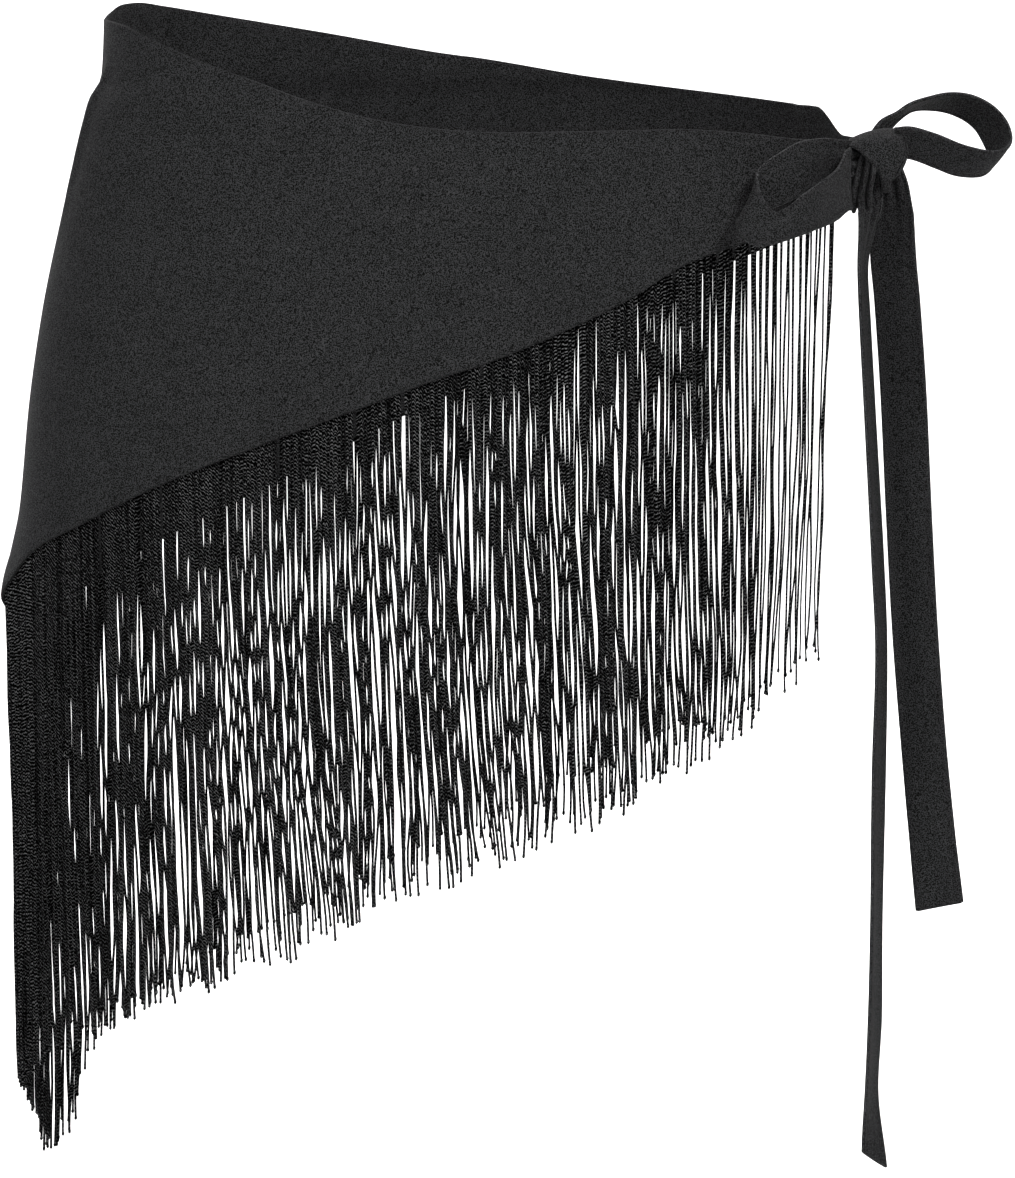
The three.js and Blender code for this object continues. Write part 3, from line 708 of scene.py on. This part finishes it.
class Tree:
    """A Geometry Nodes tree, wired by name, with named inputs."""

    def __init__(self, name, inputs):
        self.group = bpy.data.node_groups.new(name, "GeometryNodeTree")
        self.group.interface.new_socket(
            name="Geometry", in_out="OUTPUT", socket_type="NodeSocketGeometry"
        )
        self.group.interface.new_socket(
            name="Geometry", in_out="INPUT", socket_type="NodeSocketGeometry"
        )
        self.names = {}
        for label, kind in inputs.items():
            made = self.group.interface.new_socket(
                name=label, in_out="INPUT", socket_type="NodeSocket" + kind
            )
            self.names[label] = made.identifier
        self.given = self.group.nodes.new("NodeGroupInput").outputs
        self.result = self.group.nodes.new("NodeGroupOutput").inputs[0]

    def wire(self, socket, value):
        if isinstance(value, bpy.types.NodeSocket):
            self.group.links.new(value, socket)
        elif value is not None:
            socket.default_value = value

    def node(self, kind, settings=None, **inputs):
        made = self.group.nodes.new(kind)
        for key, value in (settings or {}).items():
            setattr(made, key, value)
        for key, value in inputs.items():
            found = [s for s in made.inputs if s.enabled and s.name == key.replace("_", " ")]
            self.wire(found[0], value)
        return made

    def out(self, kind, settings=None, **inputs):
        made = self.node(kind, settings, **inputs)
        return next(s for s in made.outputs if s.enabled)

    def maths(self, kind, first, second=0.0):
        made = self.group.nodes.new("ShaderNodeMath")
        made.operation = kind
        self.wire(made.inputs[0], first)
        self.wire(made.inputs[1], second)
        return made.outputs[0]

    def vector(self, kind, first, second=None, scale=None):
        made = self.group.nodes.new("ShaderNodeVectorMath")
        made.operation = kind
        self.wire(made.inputs[0], first)
        self.wire(made.inputs[1], second)
        self.wire(made.inputs[3], scale)
        return made.outputs[0]

    def named(self, label, kind="FLOAT"):
        return self.out("GeometryNodeInputNamedAttribute", {"data_type": kind}, Name=label)

    def store(self, geometry, label, value):
        return self.out(
            "GeometryNodeStoreNamedAttribute",
            {"data_type": "FLOAT", "domain": "POINT"},
            Geometry=geometry,
            Name=label,
            Value=value,
        )

    def apply(self, piece, values):
        """Runs the tree on a piece and makes the result its plain mesh."""
        modifier = piece.modifiers.new(self.group.name, "NODES")
        modifier.node_group = self.group
        for label, value in values.items():
            modifier[self.names[label]] = value
        bpy.context.view_layer.update()
        graph = bpy.context.evaluated_depsgraph_get()
        data = bpy.data.meshes.new_from_object(piece.evaluated_get(graph))
        piece.modifiers.remove(modifier)
        piece.data = data


# The fringe

YARN_THICK = 1.28
YARN_SIDES = 5
STRAND_GAP = 1.45
EVEN_SPREAD = 0.618034
HEADING_INSIDE = 1.9
HEADING_UP = 1.2
HEM_STEPS = 260
HEM_STEP_BESIDE = 0.05
HEM_SHARES = np.linspace(0.97, 1, 4)
BUNCH = 9
CLUSTER = 3.4

# How fast bunches, small clusters, drift and straying change down a strand, in turns a metre, and
# how fast drift changes along the hem.
BUNCH_TURNS = 12.0
CLUSTER_TURNS = 26.0
DRIFT_TURNS = 7.0
STRAY_TURNS = 14.0
DRIFT_ALONG = 34.0


class Strands:
    """What the fringe's tree reads at each point of a strand."""

    def __init__(self, tree):
        self.down = tree.node("GeometryNodeSplineParameter").outputs["Factor"]
        self.number = tree.named("order")
        self.own = tree.out(
            "FunctionNodeRandomValue",
            {"data_type": "FLOAT"},
            Min=-1.0,
            Max=1.0,
            ID=self.number,
            Seed=tree.maths("ADD", tree.given["Seed"], 7),
        )
        uneven = tree.maths("MULTIPLY", self.own, tree.given["Uneven"])
        self.drop = tree.maths("MULTIPLY", self.down, tree.maths("ADD", tree.named("long"), uneven))
        self.hem_way = tree.named("way")


def straight_strands(tree):
    """A straight strand at each root, for as many roots as the fringe is dense."""
    given = tree.given
    hem = tree.out("GeometryNodeMeshToCurve", Mesh=given["Geometry"])
    spread = tree.out(
        "GeometryNodeCurveToPoints", {"mode": "COUNT"}, Curve=hem, Count=given["Strands"]
    )
    order = tree.out("GeometryNodeInputIndex")
    roots = tree.store(spread, "order", order)
    missing = tree.out(
        "FunctionNodeCompare",
        {"data_type": "FLOAT", "operation": "GREATER_THAN"},
        A=tree.maths("FRACT", tree.maths("MULTIPLY", order, EVEN_SPREAD)),
        B=tree.named("dense"),
    )
    roots = tree.out(
        "GeometryNodeDeleteGeometry", {"domain": "POINT"}, Geometry=roots, Selection=missing
    )
    single = tree.out("GeometryNodeCurvePrimitiveLine", Start=(0, 0, 0), End=(0, 0, -1))
    single = tree.out(
        "GeometryNodeResampleCurve", {"mode": "COUNT"}, Curve=single, Count=given["Stations"]
    )
    strands = tree.out("GeometryNodeInstanceOnPoints", Points=roots, Instance=single)
    return tree.out("GeometryNodeRealizeInstances", Geometry=strands)


def drawn_together(tree, at, width, turns, shift):
    """How far strands slide towards the middle of their bunch: bunches close up and part again."""
    cells = tree.node(
        "ShaderNodeTexVoronoi",
        {"voronoi_dimensions": "1D"},
        W=tree.maths("ADD", tree.maths("DIVIDE", at.hem_way, width), shift),
        Scale=1.0,
    )
    middle = tree.maths("SUBTRACT", cells.outputs["W"], shift)
    away = tree.maths("SUBTRACT", tree.maths("MULTIPLY", middle, width), at.hem_way)
    place = tree.out(
        "ShaderNodeCombineXYZ",
        X=tree.maths("MULTIPLY", cells.outputs["W"], 7.3),
        Y=tree.maths("MULTIPLY", at.drop, turns),
        Z=tree.maths("MULTIPLY", tree.given["Seed"], 3.7),
    )
    pull = tree.out("ShaderNodeTexNoise", Vector=place, Scale=1.0, Detail=1.0, Roughness=0.5)
    pull = tree.out("ShaderNodeMapRange", Value=pull, From_Min=0.36, From_Max=0.72)
    return tree.maths("MULTIPLY", away, tree.maths("MULTIPLY", pull, tree.given["Closed"]))


def bunching(tree, at):
    """Wide bunches with small clusters in them, tighter lower down."""
    given = tree.given
    both = tree.maths(
        "ADD",
        drawn_together(tree, at, given["Bunch"], BUNCH_TURNS, 3.0),
        drawn_together(tree, at, given["Cluster"], CLUSTER_TURNS, 11.0),
    )
    tighter = tree.maths("ADD", 0.7, tree.maths("MULTIPLY", at.down, 0.5))
    return tree.maths("MULTIPLY", tree.maths("MULTIPLY", both, tighter), tree.named("bunched"))


def drifting(tree, at):
    """Neighbours drift aside together lower down."""
    place = tree.out(
        "ShaderNodeCombineXYZ",
        X=tree.maths("MULTIPLY", at.hem_way, DRIFT_ALONG),
        Y=tree.maths("MULTIPLY", at.drop, DRIFT_TURNS),
        Z=tree.maths("MULTIPLY", tree.given["Seed"], 5.9),
    )
    drift = tree.out("ShaderNodeTexNoise", Vector=place, Scale=1.0, Detail=1.0, Roughness=0.5)
    drift = tree.maths("MULTIPLY", tree.maths("SUBTRACT", drift, 0.5), tree.given["Drift"])
    return tree.maths("MULTIPLY", drift, tree.maths("POWER", at.down, 1.2))


def straying(tree, at):
    """How far each strand strays by itself, along the hem and outwards."""
    place = tree.out(
        "ShaderNodeCombineXYZ",
        X=tree.maths("MULTIPLY", at.number, 5.3),
        Y=tree.maths("MULTIPLY", at.drop, STRAY_TURNS),
        Z=tree.maths("MULTIPLY", tree.given["Seed"], 1.9),
    )
    stray = tree.node("ShaderNodeTexNoise", Vector=place, Scale=1.0, Detail=2.0, Roughness=0.5)
    stray = tree.vector("SUBTRACT", stray.outputs["Color"], (0.5, 0.5, 0.5))
    parts = tree.node("ShaderNodeSeparateXYZ", Vector=stray).outputs
    looser = tree.maths("ADD", 0.6, tree.maths("MULTIPLY", at.down, 1.0))
    sway = tree.maths("MULTIPLY", tree.given["Sway"], looser)
    return [tree.maths("MULTIPLY", parts[side], sway) for side in ("X", "Y")]


def hung(tree, at, strands):
    """The strands with the way that they hang: still at the hem, and freer further down."""
    outward = tree.named("outward", "FLOAT_VECTOR")
    along = tree.vector("CROSS_PRODUCT", (0, 0, 1), outward)
    freed = tree.out(
        "ShaderNodeMapRange",
        {"interpolation_type": "SMOOTHSTEP"},
        Value=at.drop,
        From_Min=tree.maths("MULTIPLY", tree.maths("ADD", at.own, 0.6), 0.004),
        From_Max=tree.maths("ADD", 0.045, tree.maths("MULTIPLY", at.own, 0.01)),
    )
    stray_along, stray_out = straying(tree, at)
    sideways = tree.maths("ADD", bunching(tree, at), stray_along)
    sideways = tree.maths("ADD", tree.maths("MULTIPLY", sideways, freed), drifting(tree, at))
    leaning = tree.maths("MULTIPLY", tree.named("along"), tree.maths("POWER", at.down, 1.6))
    sideways = tree.maths("ADD", sideways, leaning)
    outwards = tree.maths("MULTIPLY", stray_out, freed)
    outwards = tree.maths("SUBTRACT", outwards, tree.maths("MULTIPLY", tree.named("inward"), at.down))
    fall = tree.out("ShaderNodeCombineXYZ", Z=tree.maths("SUBTRACT", at.down, at.drop))
    offset = tree.vector("ADD", fall, tree.vector("SCALE", along, scale=sideways))
    offset = tree.vector("ADD", offset, tree.vector("SCALE", outward, scale=outwards))
    strands = tree.out("GeometryNodeSetPosition", Geometry=strands, Offset=offset)
    return tree.store(strands, "strand", at.own)


def yarn_round(tree, at, strands):
    """The yarn round each strand, thicker at the heading and finer at the tip."""
    profile = tree.out(
        "GeometryNodeCurvePrimitiveCircle", {"mode": "RADIUS"}, Resolution=YARN_SIDES, Radius=0.5
    )
    turned = tree.maths("DIVIDE", tree.out("GeometryNodeInputIndex"), YARN_SIDES)
    profile = tree.store(profile, "side", turned)
    at_root = tree.out(
        "ShaderNodeMapRange",
        Value=at.drop,
        From_Min=0.0,
        From_Max=tree.maths("ADD", 0.03, tree.maths("MULTIPLY", at.own, 0.018)),
        To_Min=1.32,
        To_Max=1.0,
    )
    girth = tree.maths("ADD", 0.95, tree.maths("MULTIPLY", at.own, 0.1))
    girth = tree.maths("MULTIPLY", girth, tree.maths("MULTIPLY", at_root, tree.named("thick")))
    finer = tree.maths("MULTIPLY", tree.maths("POWER", at.down, 3.0), 0.16)
    girth = tree.maths("MULTIPLY", girth, tree.maths("SUBTRACT", 1.03, finer))
    return tree.out(
        "GeometryNodeCurveToMesh",
        Curve=strands,
        Profile_Curve=profile,
        Scale=tree.maths("MULTIPLY", tree.given["Yarn Thickness"], girth),
        Fill_Caps=True,
    )


def tip_knots(tree, strands):
    ends = tree.out("GeometryNodeCurveEndpointSelection", Start_Size=0, End_Size=1)
    bead = tree.out("GeometryNodeMeshIcoSphere", Radius=tree.given["Knot Size"], Subdivisions=1)
    return tree.out(
        "GeometryNodeInstanceOnPoints", Points=strands, Selection=ends, Instance=bead, Scale=(1, 1, 1.5)
    )


def fringe_tree():
    tree = Tree(
        "fringe",
        {
            "Strands": "Int",
            "Stations": "Int",
            "Yarn Thickness": "Float",
            "Uneven": "Float",
            "Bunch": "Float",
            "Cluster": "Float",
            "Closed": "Float",
            "Drift": "Float",
            "Sway": "Float",
            "Knot Size": "Float",
            "Seed": "Int",
            "Yarn": "Material",
        },
    )
    straight = straight_strands(tree)
    at = Strands(tree)
    strands = hung(tree, at, straight)
    joined = tree.node("GeometryNodeJoinGeometry")
    for part in (yarn_round(tree, at, strands), tip_knots(tree, strands)):
        tree.group.links.new(part, joined.inputs[0])
    whole = tree.out("GeometryNodeRealizeInstances", Geometry=joined.outputs[0])
    whole = tree.out("GeometryNodeSetShadeSmooth", Geometry=whole, Shade_Smooth=True)
    whole = tree.out("GeometryNodeSetMaterial", Geometry=whole, Material=tree.given["Yarn"])
    tree.group.links.new(whole, tree.result)
    return tree


def hem_line(name, start, end):
    """The line of roots just inside the hem, with how the fringe hangs at each point."""
    angles = even_angles(start, end, HEM_STEPS)
    columns = np.stack([angles - HEM_STEP_BESIDE, angles, angles + HEM_STEP_BESIDE])
    grid = cloth_middle(columns[..., None], HEM_SHARES)
    du = grid[2, :, -1] - grid[0, :, -1]
    dv = grid[1, :, -1] - grid[1, :, -2]
    normal = np.cross(du, dv)
    outward = unit(normal * (1, 1, 0))
    points = grid[1, :, -1] - outward * HEADING_INSIDE
    points[:, 2] += HEADING_UP
    flat = points * (1, 1, 0)
    way = np.concatenate([[0], np.cumsum(np.linalg.norm(np.diff(flat, axis=0), axis=1))])
    data = bpy.data.meshes.new(name)
    edges = [(i, i + 1) for i in range(len(points) - 1)]
    data.from_pydata((points * MM).tolist(), edges, [])
    facts = {"way": way * MM}
    for label in ("long", "along", "inward"):
        facts[label] = curve(HANG, "angle", label)(angles) * MM
    for label in ("dense", "bunched", "thick"):
        facts[label] = curve(HANG, "angle", label)(angles)
    for label, values in facts.items():
        made = data.attributes.new(label, "FLOAT", "POINT")
        made.data.foreach_set("value", np.asarray(values, np.float32))
    made = data.attributes.new("outward", "FLOAT_VECTOR", "POINT")
    made.data.foreach_set("vector", outward.astype(np.float32).ravel())
    piece = bpy.data.objects.new(name, data)
    bpy.context.scene.collection.objects.link(piece)
    return piece, way[-1]


def make_fringe(name, tree, start, end, seed):
    piece, way = hem_line(name, start, end)
    tree.apply(
        piece,
        {
            "Strands": int(way / STRAND_GAP),
            "Stations": 34,
            "Yarn Thickness": YARN_THICK * MM,
            "Uneven": 6 * MM,
            "Bunch": BUNCH * MM,
            "Cluster": CLUSTER * MM,
            "Closed": 0.58,
            "Drift": 16 * MM,
            "Sway": 3 * MM,
            "Knot Size": 0.75 * MM,
            "Seed": seed,
            "Yarn": YARN,
        },
    )
    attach(piece, "root")
    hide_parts(name.replace("strands", "fringe"))
    return piece


# The knot

KNOT = {"x": 172, "y": -31, "z": -1.5, "half_x": 11, "half_y": 9, "half_z": 12}
KNOT_TURNS = 220
KNOT_LEVELS = 70
KNOT_GATHERS = 17
GATHER_DEEP = 0.13
KNOT_LEAN = 1.6
KNOT_TAPER = 0.1
KNOT_TWIST = 1.6
KNOT_CAP = 0.02
KNOT_BAND = ribbon_table(
    [
        (169.8, -27, 5.2, -0.8, -0.5, -0.24, 1.2),
        (169, -35, 7.8, -0.8, -0.57, -0.15, 1.42),
        (169, -43, 6.2, -0.8, -0.57, -0.16, 1.45),
        (171.2, -47, 3.6, -0.87, -0.47, -0.13, 1.15),
        (172.6, -47.6, 0, -0.87, -0.47, -0.13, 0.92),
        (173.6, -47.4, -3.6, -0.9, -0.4, -0.1, 0.66),
        (173.7, -46.6, -7.4, -0.93, -0.35, -0.08, 0.35),
        (173.4, -45, -11.3, -0.96, -0.2, 0, 0.18),
        (173.3, -40.5, -15, -1, 0, 0, 0.12),
    ]
)
BAND_CROWN = 1.6
BAND_THICK = 1.3
GATHERS_PLEAT = 1.4
GATHERS_THICK = 1.1


def make_knot_core():
    """The gathered body of the knot, round the ends of the cloth and the ties."""
    polar = np.linspace(KNOT_CAP, np.pi - KNOT_CAP, KNOT_LEVELS)[:, None]
    around = np.linspace(0, 2 * np.pi, KNOT_TURNS, endpoint=False)[None, :]
    height = np.cos(polar)
    waist = np.sin(polar) * (1 + KNOT_TAPER * height)
    turn = KNOT_GATHERS / 2 * around + KNOT_TWIST * height
    fold = np.abs(np.sin(turn + 0.5 * np.sin(3 * around)))
    crease = 1 - GATHER_DEEP * (1 - fold) ** 2
    x = KNOT["x"] + KNOT["half_x"] * waist * crease * np.cos(around) + KNOT_LEAN * height
    y = KNOT["y"] + KNOT["half_y"] * waist * crease * np.sin(around)
    z = KNOT["z"] + KNOT["half_z"] * height + 0 * around
    points = np.stack([x, y, z], -1).reshape(-1, 3)
    index = np.arange(KNOT_LEVELS * KNOT_TURNS).reshape(KNOT_LEVELS, KNOT_TURNS)
    after = np.roll(index, -1, axis=1)
    quads = np.stack([index[:-1], index[1:], after[1:], after[:-1]], -1).reshape(-1, 4).tolist()
    caps = [index[0].tolist(), index[-1, ::-1].tolist()]
    knot = mesh_piece("knot_core", points, quads + caps, CREPE)
    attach(knot, "root")
    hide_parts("knot")


def make_knot_band():
    """The part of the tie that is drawn tight over the knot."""
    middle = ribbon_middle(KNOT_BAND, 110, 41, pleat_deep=0, crown=BAND_CROWN)
    band = shell("knot_band", middle, BAND_THICK, CREPE)
    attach(band, "root")


def make_loop_gathers():
    """The crushed part of the tie below the band."""
    middle = ribbon_middle(LOOP_GATHERS, 80, 61, pleat_deep=GATHERS_PLEAT, crown=1)
    gathers = shell("loop_gathers", middle, GATHERS_THICK, CREPE)
    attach(gathers, "root")


# The studio


def area_light(name, place, aim, size, power):
    data = bpy.data.lights.new(name, "AREA")
    data.shape = "DISK"
    data.size = size
    data.energy = power
    light = bpy.data.objects.new(name, data)
    light.location = place
    way = np.array(aim) - np.array(place)
    flat = math.hypot(way[0], way[1])
    light.rotation_euler = (
        math.atan2(flat, -way[2]),
        0,
        math.atan2(way[1], way[0]) - math.pi / 2,
    )
    bpy.context.scene.collection.objects.link(light)


# Each light: its name, its place, what it is aimed at, its size and its power.
LIGHTS = [
    ("key_light", (1.9, -2.3, 2.4), (0, 0, -0.1), 1.0, 150),
    ("second_light", (-1.9, -2.6, 1.9), (0.05, 0, -0.1), 1.0, 110),
    ("rim_light", (-0.8, 2.8, 2.4), (0, 0, -0.1), 1.6, 80),
    ("backdrop_light", (0, 3.2, 3.2), (0, 9, 1), 2.5, 520),
]
AIR_LIGHT = 0.5
FLOOR_Z = -0.9
FLOOR_ROUND = 8
WALL_BEND = 1.4
WALL_TOP = 3
STUDIO_TURNS = 128


def make_studio():
    """A round white floor that bends up into a wall on every side, and soft light all round."""
    bend = [math.pi / 2 * step / 10 for step in range(11)]
    profile = [(0.02, FLOOR_Z), (2, FLOOR_Z), (5, FLOOR_Z)]
    for turn in bend:
        out = FLOOR_ROUND + WALL_BEND * math.sin(turn)
        profile.append((out, FLOOR_Z + WALL_BEND * (1 - math.cos(turn))))
    profile.append((FLOOR_ROUND + WALL_BEND, WALL_TOP))
    points = []
    for out, z in profile:
        for step in range(STUDIO_TURNS):
            turn = 2 * math.pi * step / STUDIO_TURNS
            points.append((out * math.cos(turn), out * math.sin(turn), z))
    index = np.arange(len(points)).reshape(len(profile), STUDIO_TURNS)
    after = np.roll(index, -1, axis=1)
    quads = np.stack([index[:-1], index[1:], after[1:], after[:-1]], -1).reshape(-1, 4)
    faces = quads.tolist() + [index[0].tolist()]
    mesh_piece("studio_sweep", np.array(points) / MM, faces, studio_white())
    world = bpy.data.worlds.new("studio_air")
    bpy.context.scene.world = world
    world.use_nodes = True
    world.node_tree.nodes["Background"].inputs["Color"].default_value = (1, 1, 1, 1)
    world.node_tree.nodes["Background"].inputs["Strength"].default_value = AIR_LIGHT
    for lamp in LIGHTS:
        area_light(*lamp)
    bpy.context.scene.view_settings.view_transform = "Standard"


place_camera()
make_studio()
wrap = make_wrap()
fringes = fringe_tree()
strands_front = make_fringe("strands_front", fringes, 25, 183.5, 3)
strands_back = make_fringe("strands_back", fringes, 184.5, 340, 11)
make_ribbon("bow_loop_left_cloth", LEFT_LOOP)
make_ribbon("bow_loop_right_cloth", RIGHT_LOOP)
make_ribbon("tail_wide_cloth", WIDE_TAIL, flip=True)
make_ribbon("tail_narrow_cloth", NARROW_TAIL, columns=220)
make_knot_core()
make_knot_band()
make_loop_gathers()

bpy.context.view_layer.update()
